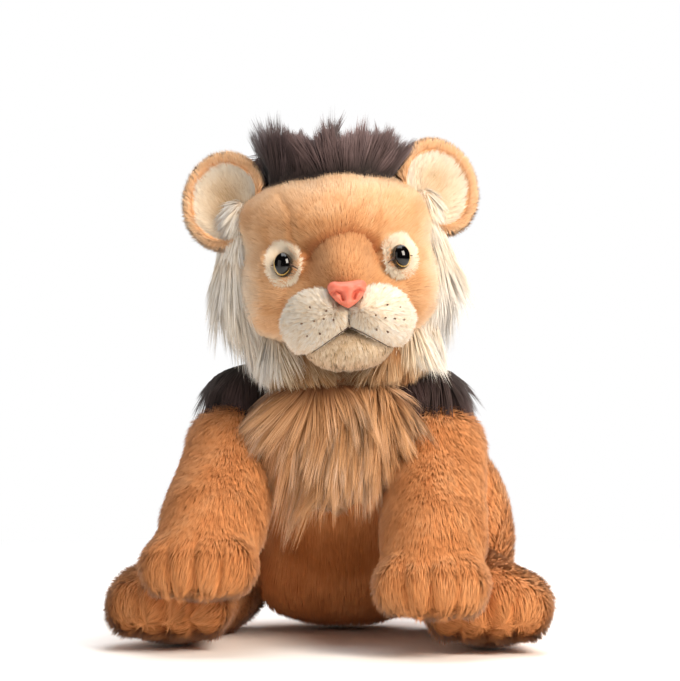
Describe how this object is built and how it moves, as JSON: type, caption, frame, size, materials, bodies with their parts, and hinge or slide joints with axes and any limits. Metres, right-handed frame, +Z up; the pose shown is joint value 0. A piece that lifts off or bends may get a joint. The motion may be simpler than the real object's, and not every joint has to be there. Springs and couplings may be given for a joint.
{
  "type": "plush lion",
  "caption": "Seated plush lion with a dark long-pile mane, cream ruff and muzzle, vinyl nose and safety eyes; head, legs and tail move on their seams.",
  "frame": {"origin": "centre of the flat under the rump, on the floor plane", "axes": "+Z up; -Y is the way the lion looks; +X is its own left side"},
  "size_m": [0.2854, 0.2738, 0.3355],
  "materials": {
    "orange_tan_plush": "short pile, brushed to the floor",
    "face_plush": "short pile",
    "cream_plush": "short dense pile",
    "ruff_pile": "long soft pile",
    "mane_pile": "long shaggy pile",
    "bib_pile": "long pile with pale tips",
    "nose_vinyl": "moulded soft vinyl",
    "eye_plastic": "moulded and polished",
    "washer_plastic": "moulded",
    "fibre_filling": "loose polyester fibre",
    "pellet_cloth": "plain woven bag"
  },
  "bodies": {
    "torso": {"torso_skin": "orange_tan_plush", "torso_filling": "fibre_filling", "rump_pellet_bag": "pellet_cloth", "mane_cape": "mane_pile", "chest_bib": "bib_pile"},
    "head": {"head_skin": "face_plush", "head_filling": "fibre_filling", "mane_crown": "mane_pile", "chin": "cream_plush", "nose": "nose_vinyl", "nose_washer": "washer_plastic", "eye_left": "eye_plastic", "eye_right": "eye_plastic", "eye_patch_left": "cream_plush", "eye_patch_right": "cream_plush", "eye_washer_left": "washer_plastic", "eye_washer_right": "washer_plastic", "muzzle_pad_left": "cream_plush", "muzzle_pad_right": "cream_plush", "ear_left": "face_plush", "ear_right": "face_plush", "ear_lining_left": "cream_plush", "ear_lining_right": "cream_plush", "ruff_left": "ruff_pile", "ruff_right": "ruff_pile"},
    "foreleg_left": {"foreleg_left": "orange_tan_plush", "foreleg_filling_left": "fibre_filling"},
    "foreleg_right": {"foreleg_right": "orange_tan_plush", "foreleg_filling_right": "fibre_filling"},
    "hindleg_left": {"hindleg_left": "orange_tan_plush", "hindleg_filling_left": "fibre_filling"},
    "hindleg_right": {"hindleg_right": "orange_tan_plush", "hindleg_filling_right": "fibre_filling"},
    "tail": {"tail": "orange_tan_plush", "tail_tuft": "mane_pile"}
  },
  "joints": [
    {"name": "head_turn", "type": "hinge", "parent": "torso", "child": "head", "pos_m": [0, -0.058, 0.17], "axis": [0, 0, 1], "range_deg": [-12, 12], "stiffness_Nm_per_rad": 0.4},
    {"name": "foreleg_left_lift", "type": "hinge", "parent": "torso", "child": "foreleg_left", "pos_m": [0.063, -0.061, 0.119], "axis": [-1, 0, 0], "range_deg": [0, 12], "stiffness_Nm_per_rad": 0.15},
    {"name": "foreleg_right_lift", "type": "hinge", "parent": "torso", "child": "foreleg_right", "pos_m": [-0.063, -0.061, 0.119], "axis": [-1, 0, 0], "range_deg": [0, 12], "stiffness_Nm_per_rad": 0.15},
    {"name": "hindleg_left_splay", "type": "hinge", "parent": "torso", "child": "hindleg_left", "pos_m": [0.076, -0.003, 0.0615], "axis": [0, 0, 1], "range_deg": [0, 7], "stiffness_Nm_per_rad": 0.3},
    {"name": "hindleg_right_splay", "type": "hinge", "parent": "torso", "child": "hindleg_right", "pos_m": [-0.076, -0.003, 0.0615], "axis": [0, 0, -1], "range_deg": [0, 7], "stiffness_Nm_per_rad": 0.3},
    {"name": "tail_swing", "type": "hinge", "parent": "torso", "child": "tail", "pos_m": [0, 0.048, 0.028], "axis": [0, 0, 1], "range_deg": [-4, 30], "stiffness_Nm_per_rad": 0.02}
  ]
}
